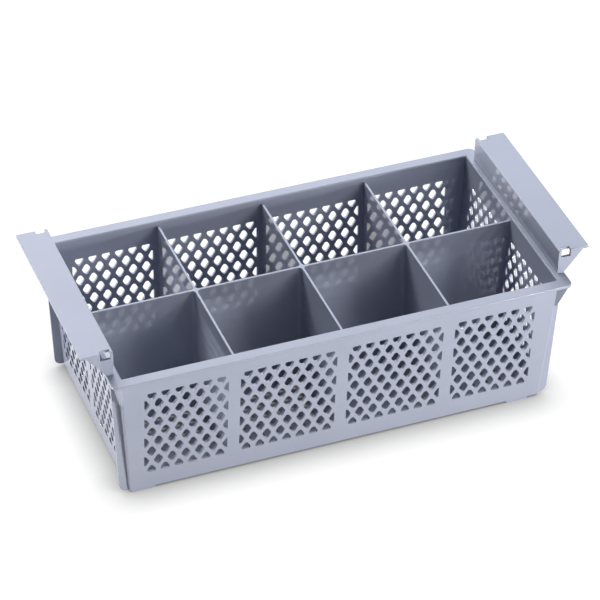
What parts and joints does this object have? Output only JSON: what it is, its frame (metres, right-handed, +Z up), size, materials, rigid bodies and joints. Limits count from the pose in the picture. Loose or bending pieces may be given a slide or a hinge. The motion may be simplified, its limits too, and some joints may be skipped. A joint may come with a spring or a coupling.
{
  "type": "dishwasher cutlery basket",
  "caption": "Open moulded cutlery basket with a grid of upright compartments, diamond-perforated walls, a flat rim and a raised flanged grip at each end.",
  "frame": {"origin": "centre of the basket in plan, at the bottoms of the feet", "axes": "+X along the length, from one grip to the other; +Y across the width, from the front wall to the back wall; +Z up, out of the open compartments"},
  "size_m": [0.4286, 0.2022, 0.1443],
  "materials": {
    "polypropylene": "satin moulded grey plastic"
  },
  "bodies": {
    "root": {"cutlery_basket": "polypropylene"}
  },
  "joints": []
}
